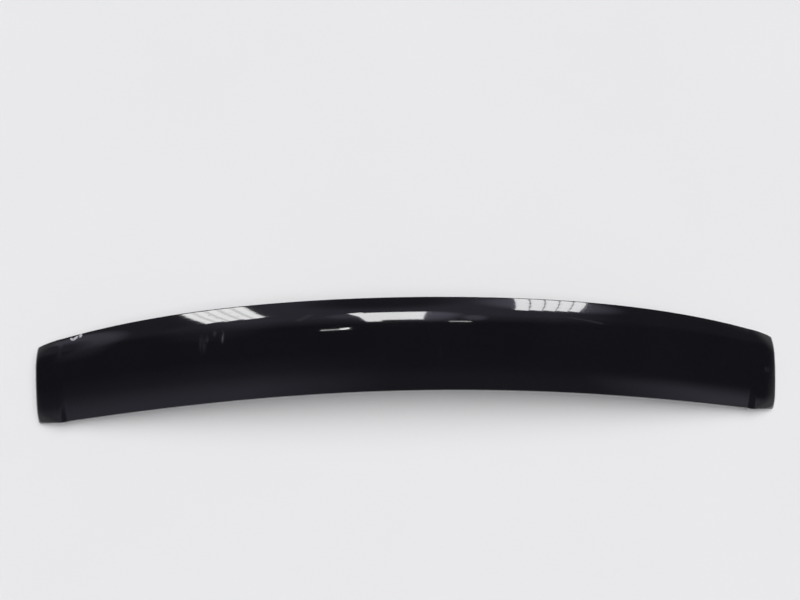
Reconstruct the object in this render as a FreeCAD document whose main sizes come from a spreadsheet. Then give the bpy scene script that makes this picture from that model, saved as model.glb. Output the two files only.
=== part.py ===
import FreeCAD, Part
import math
import os

import Sketcher
from FreeCAD import Vector

# A rear spoiler for a hatchback's tailgate: one hollow moulded strip, arched across the car,
# with a ramped leading edge between two feet and a rolled, sharp trailing edge.
# X runs across the car, +Y to the trailing edge, +Z out of the painted face.
# The origin is on the plane that the two foot pads rest on, under the middle of the outline.

doc = FreeCAD.newDocument("RearSpoiler")
sheet = doc.addObject("Spreadsheet::Sheet", "Sizes")

# Driving dimensions in millimetres, and end_sweep in degrees. The two shape numbers have no
# unit: each is the share of a bow that follows the fourth power of the span, and a negative
# share straightens the ends.
SIZES = {
    "half_span": 548,
    "crown_rise": 60,
    "end_chord": 113,
    "trailing_bow": 53,
    "trailing_shape": 0.33,
    "leading_bow": 32,
    "leading_shape": -0.12,
    "lip_height": 4,
    "ramp_depth": 35,
    "ramp_height": 17,
    "face_radius": 300,
    "roll_depth": 28,
    "roll_height": 21.5,
    "edge_height": 16.5,
    "edge_thickness": 2,
    "edge_undercut": 12,
    "wall": 3,
    "cavity_setback": 12,
    "foot_width": 36,
    "shoulder_width": 12,
    "foot_step": 2,
    "foot_rim": 22,
    "rim_drop": 9,
    "foot_height": 16,
    "foot_radius": 400,
    "end_drop": 4,
    "end_round": 4,
    "end_sweep": 4.6,
    "corner_depth": 3,
    "tail_sweep": 4,
    "tail_round": 1,
    "stud_setback": 85,
    "inner_stud_spacing": 300,
    "outer_stud_spacing": 680,
    "stud_diameter": 6,
    "stud_reach": 18,
    "stud_embed": 9,
    "stud_clearance": 0.1,
    "stud_chamfer": 1,
    "collar_diameter": 13,
    "collar_height": 2,
    "boss_diameter": 30,
    "boss_height": 13,
    "boss_drop": 3,
    "seal_bore_clearance": 0.5,
    "seal_height": 5,
    "tape_setback": 2,
    "tape_width": 8,
    "tape_height": 1.2,
    "pad_margin": 5,
    "pad_corner": 6,
    "pad_height": 1.5,
}
for row, (alias, size) in enumerate(SIZES.items(), start=1):
    sheet.set(f"A{row}", alias)
    sheet.set(f"B{row}", str(size))
    sheet.setAlias(f"B{row}", alias)
doc.recompute()


def value(expression):
    """The present number of an expression on the sheet's sizes."""
    return float(sheet.evalExpression(expression))


def bow(amount, shape, share):
    """How far an edge stands out at a share of its half length: all at 0 and none at 1."""
    return f"{amount} * (1 - (1 - {shape}) * ({share})^2 - {shape} * ({share})^4)"


def leading_edge(x):
    reach = bow("Sizes.leading_bow", "Sizes.leading_shape", f"{x} / {SHOULDER}")
    return f"(Sizes.foot_step + {reach})"


def trailing_edge(x):
    reach = bow("Sizes.trailing_bow", "Sizes.trailing_shape", f"{x} / Sizes.half_span")
    return f"(Sizes.end_chord + {reach})"


def underside(x):
    return f"(Sizes.crown_rise * (1 - ({x} / Sizes.half_span)^2))"


# The front of the feet is the line from which depths are measured, and these are the places
# across the car, on the right half, where the skin changes from one stretch to the next.
DEPTH = "(Sizes.end_chord + Sizes.trailing_bow)"
FOOT_START = "(Sizes.half_span - Sizes.foot_width)"
SHOULDER = f"({FOOT_START} - Sizes.shoulder_width)"
ROUND_START = "(Sizes.half_span - Sizes.end_round)"
MAIN_STATIONS = [f"({share} * {SHOULDER})" for share in (-1, -0.7, -0.35, 0, 0.35, 0.7, 1)]
FOOT_STATIONS = [FOOT_START, f"(({FOOT_START} + {ROUND_START}) / 2)", ROUND_START]
# Degrees round the quarter turn that takes a foot's face down to its end.
ROUND_TURNS = (0, 30, 60, 90)
SIDES = {"left": "-", "right": ""}


def place(item):
    """Stand a sub-part in the shared frame: centred fore and aft, lifted onto its pads."""
    item.setExpression("Placement.Base.y", f"-{DEPTH} / 2")
    item.setExpression("Placement.Base.z", "Sizes.pad_height")


def new_body(label):
    body = doc.addObject("PartDesign::Body", label)
    body.Label = label
    place(body)
    return body


def new_sketch(body, name, role, offset, sweep="0"):
    """A sketch on one of the body's origin planes, moved along its normal and turned by a sweep.

    The sweep, in degrees, turns the sketch about its own upright axis.
    """
    plane = next(item for item in body.Origin.OriginFeatures if item.Role == role)
    sketch = body.newObject("Sketcher::SketchObject", name)
    sketch.AttachmentSupport = [(plane, "")]
    sketch.MapMode = "FlatFace"
    sketch.setExpression("AttachmentOffset.Base.z", offset)
    sketch.setExpression("AttachmentOffset.Rotation.Pitch", sweep)
    return sketch


def bind(sketch, kind, *where, size):
    """Add a dimension to the sketch and tie it to an expression."""
    index = sketch.addConstraint(Sketcher.Constraint(kind, *where, value(size)))
    sketch.setExpression(f"Constraints[{index}]", size)


def fix_point(sketch, edge, end, across, up):
    """Hold one end of an edge at a distance across and up from the sketch's origin."""
    bind(sketch, "DistanceX", -1, 1, edge, end, size=across)
    bind(sketch, "DistanceY", -1, 1, edge, end, size=up)


def point(across, up):
    return Vector(value(across), value(up), 0)


def arc(centre, start, end):
    """A counter-clockwise arc about a centre from start to end."""
    spoke = start - centre
    other = end - centre
    circle = Part.Circle(centre, Vector(0, 0, 1), spoke.Length)
    return Part.ArcOfCircle(circle, math.atan2(spoke.y, spoke.x), math.atan2(other.y, other.x))


def crowned_centre(front, rear, radius):
    """The centre, below the face, of the arc of a given radius through two points."""
    half = (rear - front) / 2
    square_to = Vector(half.y, -half.x, 0).normalize()
    return front + half + square_to * math.sqrt(radius ** 2 - half.Length ** 2)


def tangent_centre(joint, centre, far):
    """The centre of the arc that leaves a neighbour's arc smoothly at joint and ends at far."""
    inward = (centre - joint).normalize()
    chord = far - joint
    return joint + inward * (chord.Length ** 2 / (2 * chord.dot(inward)))


def skin_outline(sketch, toe, lip, face_start, face_end, edge, heel, radius):
    """The closed outer section through its corners, each given across and up.

    From the front: an upright lip, the ramp or rim, the face, the roll down to the trailing
    edge, its blunt tip, the undercut rear and the underside. The three arcs run on smoothly.
    """
    tip = (edge[0], f"({edge[1]} - Sizes.edge_thickness)")
    toe_at, lip_at, start_at = point(*toe), point(*lip), point(*face_start)
    end_at, edge_at, tip_at, heel_at = point(*face_end), point(*edge), point(*tip), point(*heel)
    face_centre = crowned_centre(start_at, end_at, value(radius))
    ramp_centre = tangent_centre(start_at, face_centre, lip_at)
    roll_centre = tangent_centre(end_at, face_centre, edge_at)

    front = sketch.addGeometry(Part.LineSegment(toe_at, lip_at))
    ramp = sketch.addGeometry(arc(ramp_centre, start_at, lip_at))
    face = sketch.addGeometry(arc(face_centre, end_at, start_at))
    roll = sketch.addGeometry(arc(roll_centre, edge_at, end_at))
    blunt = sketch.addGeometry(Part.LineSegment(edge_at, tip_at))
    rear = sketch.addGeometry(Part.LineSegment(tip_at, heel_at))
    under = sketch.addGeometry(Part.LineSegment(heel_at, toe_at))

    for near, far in ((ramp, face), (face, roll)):
        sketch.addConstraint(Sketcher.Constraint("Tangent", near, 1, far, 2))
    sketch.addConstraint(Sketcher.Constraint("Coincident", front, 2, ramp, 2))
    sketch.addConstraint(Sketcher.Constraint("Coincident", roll, 1, blunt, 1))
    for near, far in ((blunt, rear), (rear, under), (under, front)):
        sketch.addConstraint(Sketcher.Constraint("Coincident", near, 2, far, 1))
    fix_point(sketch, front, 1, *toe)
    fix_point(sketch, front, 2, *lip)
    fix_point(sketch, face, 2, *face_start)
    fix_point(sketch, face, 1, *face_end)
    fix_point(sketch, roll, 1, *edge)
    fix_point(sketch, rear, 1, *tip)
    fix_point(sketch, rear, 2, *heel)
    bind(sketch, "Radius", face, size=radius)
    return sketch


def main_section(body, name, x):
    """The section between the feet, where the leading edge is a ramp down to a thin lip."""
    base = underside(x)
    front = leading_edge(x)
    rear = trailing_edge(x)
    return skin_outline(
        new_sketch(body, name, "YZ_Plane", x),
        toe=(front, base),
        lip=(front, f"({base} + Sizes.lip_height)"),
        face_start=(f"({front} + Sizes.ramp_depth)", f"({base} + Sizes.ramp_height)"),
        face_end=(f"({rear} - Sizes.roll_depth)", f"({base} + Sizes.roll_height)"),
        edge=(rear, f"({base} + Sizes.edge_height)"),
        heel=(f"({rear} - Sizes.edge_undercut)", base),
        radius="Sizes.face_radius",
    )


def foot_section(body, name, sign, reach, turn):
    """The section of a foot, sloped at its front and flat below, drawn in round its end's turn.

    The sections swing out towards the end, so that the end flares to the trailing edge, and the
    trailing edge is drawn in over the foot.
    """
    swing = "-" if sign == "" else ""
    along = f"(({reach} - {FOOT_START}) / Sizes.foot_width)"
    sweep = f"{swing}Sizes.end_sweep * {along}"
    shrink = f"(1 - cos({turn} deg))"
    inset = f"(Sizes.end_round * {shrink})"
    front = f"(Sizes.corner_depth * {shrink})"
    tail = f"(Sizes.tail_sweep * {along}^2 + Sizes.tail_round * {shrink})"
    rear = f"({trailing_edge(reach)} - {tail})"
    face_end = f"({rear} - Sizes.roll_depth)"
    rise = f"((Sizes.roll_height - Sizes.foot_height) * {front} / {face_end})"
    level = f"({underside(reach)} - Sizes.end_drop * {along}^2)"
    brow = f"({level} + Sizes.foot_height + {rise})"
    return skin_outline(
        new_sketch(body, name, "YZ_Plane", f"{sign}{reach}", sweep),
        toe=(front, "0"),
        lip=(front, f"({brow} - Sizes.rim_drop)"),
        face_start=(f"({front} + Sizes.foot_rim - {inset})", f"({brow} - {inset})"),
        face_end=(face_end, f"({level} + Sizes.roll_height - {inset})"),
        edge=(rear, f"({level} + Sizes.edge_height - {inset})"),
        heel=(f"({rear} - Sizes.edge_undercut)", "0"),
        radius="Sizes.foot_radius",
    )


def draw_polygon(sketch, corners):
    """A closed outline of straight edges, with each corner held by two dimensions."""
    places = [point(*corner) for corner in corners]
    edges = []
    for start_at, end_at in zip(places, places[1:] + places[:1]):
        edges.append(sketch.addGeometry(Part.LineSegment(start_at, end_at)))
    for near, far, corner in zip(edges, edges[1:] + edges[:1], corners[1:] + corners[:1]):
        sketch.addConstraint(Sketcher.Constraint("Coincident", near, 2, far, 1))
        fix_point(sketch, far, 1, *corner)


def draw_circle(sketch, across, up, diameter):
    """A circle held by its centre and its diameter."""
    circle = Part.Circle(point(across, up), Vector(0, 0, 1), value(diameter) / 2)
    ring = sketch.addGeometry(circle)
    fix_point(sketch, ring, 3, across, up)
    bind(sketch, "Diameter", ring, size=diameter)


def cavity_section(body, name, x):
    """The hollow at x: a wall under the face and the roll, a wall over the underside."""
    base = underside(x)
    rear = trailing_edge(x)
    floor = f"({base} + Sizes.wall)"
    corners = [
        (f"({leading_edge(x)} + Sizes.cavity_setback)", floor),
        (f"({leading_edge(x)} + Sizes.ramp_depth)", f"({base} + Sizes.ramp_height - Sizes.wall)"),
        (f"({rear} - Sizes.roll_depth)", f"({base} + Sizes.roll_height - Sizes.wall)"),
        (
            f"({rear} - Sizes.roll_depth / 2)",
            f"({base} + (Sizes.roll_height + Sizes.edge_height) / 2 - Sizes.wall)",
        ),
        (f"({rear} - Sizes.edge_undercut - 2 * Sizes.wall)", floor),
    ]
    sketch = new_sketch(body, name, "YZ_Plane", x)
    draw_polygon(sketch, corners)
    return sketch


def loft(body, name, kind, sections):
    """A smooth skin through a row of sections, added or cut."""
    feature = body.newObject(f"PartDesign::{kind}", name)
    feature.Profile = sections[0]
    feature.Sections = sections[1:]
    feature.Ruled = False
    doc.recompute()
    return feature


def stud_places():
    """Label, place across the car and boss face height of each stud, as expressions."""
    places = []
    for row in ("inner", "outer"):
        reach = f"(Sizes.{row}_stud_spacing / 2)"
        height = f"({underside(reach)} - Sizes.boss_drop)"
        for side, sign in SIDES.items():
            places.append((f"{row}_{side}", f"{sign}{reach}", height))
    return places


def bosses(body):
    """Moulded bosses with blind holes that take the studs, square to Z on the arched underside."""
    bore = "(Sizes.stud_diameter + Sizes.stud_clearance)"
    for label, x, height in stud_places():
        face = new_sketch(body, f"boss_{label}", "XY_Plane", height)
        draw_circle(face, x, "Sizes.stud_setback", "Sizes.boss_diameter")
        pad = body.newObject("PartDesign::Pad", f"boss_pad_{label}")
        pad.Profile = face
        pad.setExpression("Length", "Sizes.boss_height")
        doc.recompute()

        mouth = new_sketch(body, f"hole_{label}", "XY_Plane", height)
        draw_circle(mouth, x, "Sizes.stud_setback", bore)
        pocket = body.newObject("PartDesign::Pocket", f"boss_hole_{label}")
        pocket.Profile = mouth
        pocket.Reversed = True
        pocket.setExpression("Length", "Sizes.stud_embed + Sizes.stud_clearance")
        doc.recompute()


def foot(body, side, sign):
    """One end of the skin: the shoulder that blends the ramp into the foot, the foot, its round."""
    shoulder = [
        main_section(body, f"shoulder_{side}_0", f"({sign}{SHOULDER})"),
        foot_section(body, f"shoulder_{side}_1", sign, FOOT_START, 0),
    ]
    block = []
    for index, reach in enumerate(FOOT_STATIONS):
        block.append(foot_section(body, f"foot_{side}_{index}", sign, reach, 0))
    end = []
    for turn in ROUND_TURNS:
        reach = f"({ROUND_START} + Sizes.end_round * sin({turn} deg))"
        end.append(foot_section(body, f"end_{side}_{turn}", sign, reach, turn))
    doc.recompute()
    loft(body, f"shoulder_{side}", "AdditiveLoft", shoulder)
    loft(body, f"foot_{side}", "AdditiveLoft", block)
    loft(body, f"end_{side}", "AdditiveLoft", end)


def spoiler_body():
    body = new_body("spoiler_body")
    skin = [main_section(body, f"main_{index}", x) for index, x in enumerate(MAIN_STATIONS)]
    doc.recompute()
    loft(body, "main_skin", "AdditiveLoft", skin)
    for side, sign in SIDES.items():
        foot(body, side, sign)
    hollow = [cavity_section(body, f"cavity_{index}", x) for index, x in enumerate(MAIN_STATIONS)]
    doc.recompute()
    loft(body, "cavity", "SubtractiveLoft", hollow)
    bosses(body)
    return body


def lathe(label, radius, height, x, bottom):
    """An upright cylinder on a stud's axis, from a bottom height."""
    item = doc.addObject("Part::Cylinder", label)
    item.setExpression("Radius", radius)
    item.setExpression("Height", height)
    item.setExpression("Placement.Base.x", x)
    item.setExpression("Placement.Base.y", "Sizes.stud_setback")
    item.setExpression("Placement.Base.z", bottom)
    return item


def group(label, members):
    item = doc.addObject("Part::Compound", label)
    item.Label = label
    item.Links = members
    place(item)
    return item


def mounting_studs():
    """Four steel studs: a shank set into its boss, a collar on the boss face, a chamfered tip."""
    members = []
    for label, x, height in stud_places():
        tip = f"({height} - Sizes.stud_reach)"
        straight = "Sizes.stud_reach - Sizes.stud_chamfer + Sizes.stud_embed"
        start = f"{tip} + Sizes.stud_chamfer"
        shank = lathe(f"shank_{label}", "Sizes.stud_diameter / 2", straight, x, start)
        collar_bottom = f"{height} - Sizes.collar_height"
        collar = lathe(
            f"collar_{label}", "Sizes.collar_diameter / 2", "Sizes.collar_height", x, collar_bottom
        )
        end = doc.addObject("Part::Cone", f"tip_{label}")
        end.setExpression("Radius1", "Sizes.stud_diameter / 2 - Sizes.stud_chamfer")
        end.setExpression("Radius2", "Sizes.stud_diameter / 2")
        end.setExpression("Height", "Sizes.stud_chamfer")
        end.setExpression("Placement.Base.x", x)
        end.setExpression("Placement.Base.y", "Sizes.stud_setback")
        end.setExpression("Placement.Base.z", tip)
        stud = doc.addObject("Part::MultiFuse", f"stud_{label}")
        stud.Shapes = [shank, collar, end]
        stud.Refine = True
        members.append(stud)
    return group("mounting_studs", members)


def stud_seals():
    """Four foam rings round the collars, flat on the boss faces."""
    members = []
    bore = "Sizes.collar_diameter / 2 + Sizes.seal_bore_clearance"
    for label, x, height in stud_places():
        bottom = f"{height} - Sizes.seal_height"
        ring = lathe(f"seal_ring_{label}", "Sizes.boss_diameter / 2", "Sizes.seal_height", x, bottom)
        core = lathe(f"seal_core_{label}", bore, "Sizes.seal_height", x, bottom)
        seal = doc.addObject("Part::Cut", f"seal_{label}")
        seal.Base = ring
        seal.Tool = core
        members.append(seal)
    return group("stud_seals", members)


def leading_edge_tape():
    """A foam tape under the lip, from foot to foot along the leading edge."""
    body = new_body("leading_edge_tape")
    sections = []
    for index, x in enumerate(MAIN_STATIONS):
        base = underside(x)
        front = f"({leading_edge(x)} + Sizes.tape_setback)"
        back = f"({front} + Sizes.tape_width)"
        lower = f"({base} - Sizes.tape_height)"
        section = new_sketch(body, f"tape_{index}", "YZ_Plane", x)
        draw_polygon(section, [(front, lower), (front, base), (back, base), (back, lower)])
        sections.append(section)
    doc.recompute()
    loft(body, "tape_strip", "AdditiveLoft", sections)
    return body


def foot_pad(side, sign):
    """A flat foam pad with round corners under one foot, a margin in from its outline."""
    body = new_body(f"{side}_foot_pad")
    sketch = new_sketch(body, f"pad_outline_{side}", "XY_Plane", "-Sizes.pad_height")
    inner = f"({sign}({FOOT_START} + Sizes.pad_margin))"
    outer = f"({sign}(Sizes.half_span - Sizes.pad_margin))"
    front = "Sizes.pad_margin"
    back = "(Sizes.end_chord - Sizes.edge_undercut - Sizes.pad_margin)"
    draw_polygon(sketch, [(inner, front), (outer, front), (outer, back), (inner, back)])
    pad = body.newObject("PartDesign::Pad", f"pad_{side}")
    pad.Profile = sketch
    pad.setExpression("Length", "Sizes.pad_height")
    doc.recompute()
    upright = []
    for index, edge in enumerate(pad.Shape.Edges, start=1):
        if edge.BoundBox.ZLength > value("Sizes.pad_height") / 2:
            upright.append(f"Edge{index}")
    corner_rounds = body.newObject("PartDesign::Fillet", f"pad_corners_{side}")
    corner_rounds.Base = (pad, upright)
    corner_rounds.setExpression("Radius", "Sizes.pad_corner")
    doc.recompute()
    return body


SUB_PARTS = [
    spoiler_body(),
    mounting_studs(),
    stud_seals(),
    leading_edge_tape(),
    *[foot_pad(side, sign) for side, sign in SIDES.items()],
]
doc.recompute()

for item in doc.Objects:
    if "Invalid" in item.State or "Error" in item.State:
        raise RuntimeError(f"{item.Label} failed: {item.State} {item.getStatusString()}")
for item in SUB_PARTS:
    if item.Shape.isNull() or not item.Shape.isValid():
        raise RuntimeError(f"{item.Label} has no valid shape")

os.makedirs("parts", exist_ok=True)
for item in SUB_PARTS:
    item.Shape.exportStep(f"parts/{item.Label}.step")
    box = item.Shape.BoundBox
    print(
        f"{item.Label}: {len(item.Shape.Solids)} solids, {item.Shape.Volume / 1000:.1f} cm3,"
        f" x {box.XMin:.1f}..{box.XMax:.1f}, y {box.YMin:.1f}..{box.YMax:.1f},"
        f" z {box.ZMin:.1f}..{box.ZMax:.1f}"
    )
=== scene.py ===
import math

import bmesh
import bpy
import numpy as np
from bpy.props import FloatProperty, FloatVectorProperty, PointerProperty
from mathutils import Matrix, Vector


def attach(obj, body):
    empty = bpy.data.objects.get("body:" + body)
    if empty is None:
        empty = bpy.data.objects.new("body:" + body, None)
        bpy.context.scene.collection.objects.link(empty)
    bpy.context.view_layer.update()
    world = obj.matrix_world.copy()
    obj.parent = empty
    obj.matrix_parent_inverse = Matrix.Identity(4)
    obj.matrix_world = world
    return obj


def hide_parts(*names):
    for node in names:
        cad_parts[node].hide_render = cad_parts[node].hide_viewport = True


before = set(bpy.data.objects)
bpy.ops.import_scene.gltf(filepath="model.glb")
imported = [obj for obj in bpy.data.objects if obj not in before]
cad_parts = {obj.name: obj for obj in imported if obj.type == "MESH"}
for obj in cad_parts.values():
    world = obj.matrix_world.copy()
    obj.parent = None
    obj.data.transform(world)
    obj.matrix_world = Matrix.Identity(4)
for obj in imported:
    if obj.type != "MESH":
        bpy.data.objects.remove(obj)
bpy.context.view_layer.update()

bl_info = {
    "name": "Rear Spoiler",
    "version": (1, 0, 0),
    "blender": (4, 5, 0),
    "location": "View3D > Sidebar > Spoiler",
    "description": "Builds an arched gloss black tailgate spoiler with its studs and foam seals",
    "category": "Object",
}

BODY = "root"


def length(name, description, default):
    """A size in metres that a user may change."""
    return FloatProperty(
        name=name, description=description, default=default, min=0.0, precision=5, unit="LENGTH"
    )


def share(name, description, default):
    """A plain number without a unit."""
    return FloatProperty(name=name, description=description, default=default, precision=4)


def colour(name, description, default):
    """A linear colour."""
    return FloatVectorProperty(
        name=name, description=description, default=default, size=3, min=0.0, max=1.0, subtype="COLOR"
    )


class SpoilerForm(bpy.types.PropertyGroup):
    """Sizes of the moulded body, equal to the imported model's."""

    half_span: length("Half span", "From the middle to an end, at the front of a foot", 0.548)
    crown_rise: length("Crown rise", "Height of the arched underside over the feet", 0.060)
    end_chord: length("End chord", "Depth of an end from the foot front to the trailing edge", 0.113)
    trailing_bow: length("Trailing bow", "How far the trailing edge bows out at the middle", 0.053)
    trailing_shape: share("Trailing shape", "Share of the bow that follows the fourth power", 0.33)
    leading_bow: length("Leading bow", "How far the leading edge bows in at the middle", 0.032)
    leading_shape: share("Leading shape", "Share of the bow that follows the fourth power", -0.12)
    lip_height: length("Lip height", "Upright height of the leading edge's lip", 0.004)
    ramp_depth: length("Ramp depth", "Depth of the ramp behind the lip", 0.035)
    ramp_height: length("Ramp height", "Height of the ramp's top over the underside", 0.017)
    face_radius: length("Face radius", "Radius of the face's crown in section", 0.300)
    roll_depth: length("Roll depth", "Depth of the roll down to the trailing edge", 0.028)
    roll_height: length("Roll height", "Height of the roll's start over the underside", 0.0215)
    edge_height: length("Edge height", "Height of the trailing edge over the underside", 0.0165)
    edge_thickness: length("Edge thickness", "Height of the trailing edge's blunt tip", 0.002)
    edge_undercut: length("Edge undercut", "How far the rear leans in under the trailing edge", 0.012)
    foot_width: length("Foot width", "Width of a foot across the car", 0.036)
    shoulder_width: length("Shoulder width", "Width of the blend from ramp to foot", 0.012)
    foot_step: length("Foot step", "How far the feet stand out before the leading edge", 0.002)
    foot_rim: length("Foot rim", "Depth of the slope from a foot's front to its face", 0.022)
    rim_drop: length("Rim drop", "How far that slope falls to the foot's front", 0.009)
    foot_height: length("Foot height", "Height of a foot's face over the arch line, behind its rim", 0.016)
    foot_radius: length("Foot radius", "Radius of a foot's face in section", 0.400)
    end_drop: length("End drop", "How far a foot's face falls to its end", 0.004)
    end_round: length("End round", "Radius of the turn from a foot's face to its end", 0.004)
    tail_sweep: length("Tail sweep", "How far the trailing edge is drawn in over a foot", 0.004)
    tail_round: length("Tail round", "How far the trailing edge is drawn in round an end", 0.001)
    end_sweep: FloatProperty(
        name="End sweep",
        description="How far an end flares out to the trailing edge",
        default=math.radians(4.6),
        subtype="ANGLE",
    )
    corner_depth: length("Corner depth", "How far back the end's front corner is drawn", 0.003)
    pad_height: length("Pad height", "Thickness of the foot pads", 0.0015)


class SpoilerFixings(bpy.types.PropertyGroup):
    """Sizes of the studs, seals, tape and pads."""

    stud_setback: length("Stud setback", "From the foot front back to the studs", 0.085)
    inner_spacing: length("Inner spacing", "Between the two inner studs", 0.300)
    outer_spacing: length("Outer spacing", "Between the two outer studs", 0.680)
    stud_diameter: length("Stud diameter", "Outer diameter of the thread", 0.006)
    thread_pitch: length("Thread pitch", "Rise of the thread in one turn", 0.001)
    thread_depth: length("Thread depth", "Depth of the thread", 0.00055)
    thread_gap: length("Thread gap", "From the thread's end to the collar", 0.0008)
    thread_fade: length("Thread fade", "Length over which the thread fades out there", 0.0012)
    tip_bevel: length("Tip bevel", "Bevel of a stud's tip, where the thread fades in", 0.001)
    stud_reach: length("Stud reach", "From the boss face to the stud's tip", 0.018)
    stud_embed: length("Stud embed", "Length of stud inside its boss", 0.009)
    collar_diameter: length("Collar diameter", "Diameter of the stud's collar", 0.013)
    collar_height: length("Collar height", "Height of the stud's collar", 0.002)
    collar_bevel: length("Collar bevel", "Bevel of the collar's edges", 0.0003)
    boss_diameter: length("Boss diameter", "Diameter of the moulded bosses and of the seals", 0.030)
    boss_height: length("Boss height", "Height of a boss", 0.013)
    boss_drop: length("Boss drop", "How far a boss stands out under the body", 0.003)
    boss_round: length("Boss round", "Radius of a boss's rim", 0.0008)
    seal_clearance: length("Seal clearance", "Gap between a seal and its collar", 0.0005)
    seal_height: length("Seal height", "Thickness of a seal", 0.005)
    tape_setback: length("Tape setback", "From the leading edge to the tape", 0.002)
    tape_width: length("Tape width", "Width of the foam tape", 0.008)
    tape_height: length("Tape height", "Thickness of the foam tape", 0.0012)
    pad_margin: length("Pad margin", "From a foot's outline to its pad", 0.005)
    pad_corner: length("Pad corner", "Radius of a pad's corners", 0.006)
    pad_edge: length("Pad edge", "Radius of a pad's edges", 0.0004)


class SpoilerFinish(bpy.types.PropertyGroup):
    """Colours of the finishes."""

    paint: colour("Paint", "Gloss black paint", (0.0045, 0.0043, 0.0058))
    # Pale colour of the flecks at the left end of the trailing edge: a painted highlight.
    primer: colour("Highlight", "Pale primer that shows in chips", (0.42, 0.42, 0.44))
    dust: colour("Dust", "Dust that lies on the paint", (0.30, 0.29, 0.28))
    scuff: colour("Scuff", "Paint that is rubbed pale", (0.45, 0.45, 0.47))
    moulding: colour("Moulding", "Unpainted plastic of the underside", (0.016, 0.016, 0.017))
    steel: colour("Steel", "Zinc plating of the studs", (0.62, 0.60, 0.55))
    cast: colour("Cast", "Yellow cast in patches of the plating", (0.60, 0.53, 0.38))
    seal_foam: colour("Seal foam", "Foam rubber of the seals", (0.040, 0.040, 0.042))
    tape_foam: colour("Tape foam", "Acrylic foam of the tape and pads", (0.10, 0.10, 0.105))


class SpoilerStage(bpy.types.PropertyGroup):
    """Floor and light."""

    floor: colour("Floor", "Plain pale floor", (0.80, 0.80, 0.80))
    sun: share("Sun", "Strength of the soft sun", 3.0)


def pair(y, z):
    """Points in a section: depth from the foot front and height over the pads."""
    return np.stack(np.broadcast_arrays(y, z), axis=-1)


def bow(amount, shape, reach):
    """The amount, less a mix of the second and fourth powers of the share of the half length."""
    return amount * (1 - (1 - shape) * reach**2 - shape * reach**4)


def foot_start(form):
    """Where the feet begin, across from the middle."""
    return form.half_span - form.foot_width


def shoulder_start(form):
    """Where the ramp begins to blend into a foot."""
    return foot_start(form) - form.shoulder_width


def leading_edge(form, x):
    """Depth of the leading edge: the foot step plus the bow from shoulder to shoulder."""
    return form.foot_step + bow(form.leading_bow, form.leading_shape, x / shoulder_start(form))


def trailing_edge(form, x):
    """Depth of the trailing edge: the end chord plus the bow over the whole span."""
    return form.end_chord + bow(form.trailing_bow, form.trailing_shape, x / form.half_span)


def arch(form, x):
    """Height of the underside: the crown less its share by the square of the place across."""
    return form.crown_rise * (1 - (x / form.half_span) ** 2)


def body_depth(form):
    """Depth from the foot fronts to the middle of the trailing edge."""
    return form.end_chord + form.trailing_bow


def in_frame(form, x, y, z):
    """Points of the shared frame: depth counted from the middle, height from the floor."""
    return np.stack(np.broadcast_arrays(x, y - body_depth(form) / 2, z + form.pad_height), axis=-1)


# Rounding of a section's corners, points along its runs, and the run where its bare underside begins.
SOFT = {"toe": 0.0008, "lip": 0.0014, "edge": 0.0007, "tip": 0.0007, "heel": 0.0015}
COUNT = {"front": 6, "ramp": 18, "face": 30, "roll": 20, "blunt": 3, "rear": 9, "under": 24}
CORNER_COUNT = 4
FIRST_BARE_RUN = 10


def line_run(start, end, trim_start, trim_end, count):
    """Points along a straight edge, trimmed at both ends and closer together near them."""
    span = np.linalg.norm(end - start, axis=-1, keepdims=True)
    ease = 0.5 - 0.5 * np.cos(np.pi * np.linspace(0, 1, count))
    low = trim_start / span
    high = 1 - trim_end / span
    along = low + (high - low) * ease
    return start[:, None, :] + (end - start)[:, None, :] * along[:, :, None]


def arc_run(centre, start, end, trim_start, trim_end, count):
    """Points round a centre from start to end, trimmed at both ends."""
    spoke = start - centre
    other = end - centre
    radius = np.linalg.norm(spoke, axis=-1, keepdims=True)
    first = np.arctan2(spoke[:, 1], spoke[:, 0])[:, None]
    last = np.arctan2(other[:, 1], other[:, 0])[:, None]
    turn = (last - first + np.pi) % (2 * np.pi) - np.pi
    way = np.sign(turn)
    low = first + way * trim_start / radius
    high = first + turn - way * trim_end / radius
    angle = low + (high - low) * np.linspace(0, 1, count)
    return centre[:, None, :] + radius[:, :, None] * np.stack([np.cos(angle), np.sin(angle)], axis=-1)


def corner_run(before, corner, after):
    """A rounded corner: the parabola from one edge's end to the next edge's start, drawn to the corner."""
    t = np.linspace(0, 1, CORNER_COUNT + 2)[1:-1][None, :, None]
    ends = (1 - t) ** 2 * before[:, -1:, :] + t**2 * after[:, :1, :]
    return ends + 2 * t * (1 - t) * corner[:, None, :]


def crowned_centre(front, rear, radius):
    """Centre, below, of the arc of a radius through two points."""
    half = (rear - front) / 2
    reach = np.linalg.norm(half, axis=-1, keepdims=True)
    square_to = np.stack([half[:, 1], -half[:, 0]], axis=-1) / reach
    return front + half + square_to * np.sqrt(radius**2 - reach**2)


def tangent_centre(joint, centre, far):
    """Centre of the arc that leaves another arc smoothly at their joint and ends at a far point."""
    inward = (centre - joint) / np.linalg.norm(centre - joint, axis=-1, keepdims=True)
    chord = far - joint
    half_square = (chord**2).sum(axis=-1, keepdims=True) / 2
    return joint + inward * half_square / (chord * inward).sum(axis=-1, keepdims=True)


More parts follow.
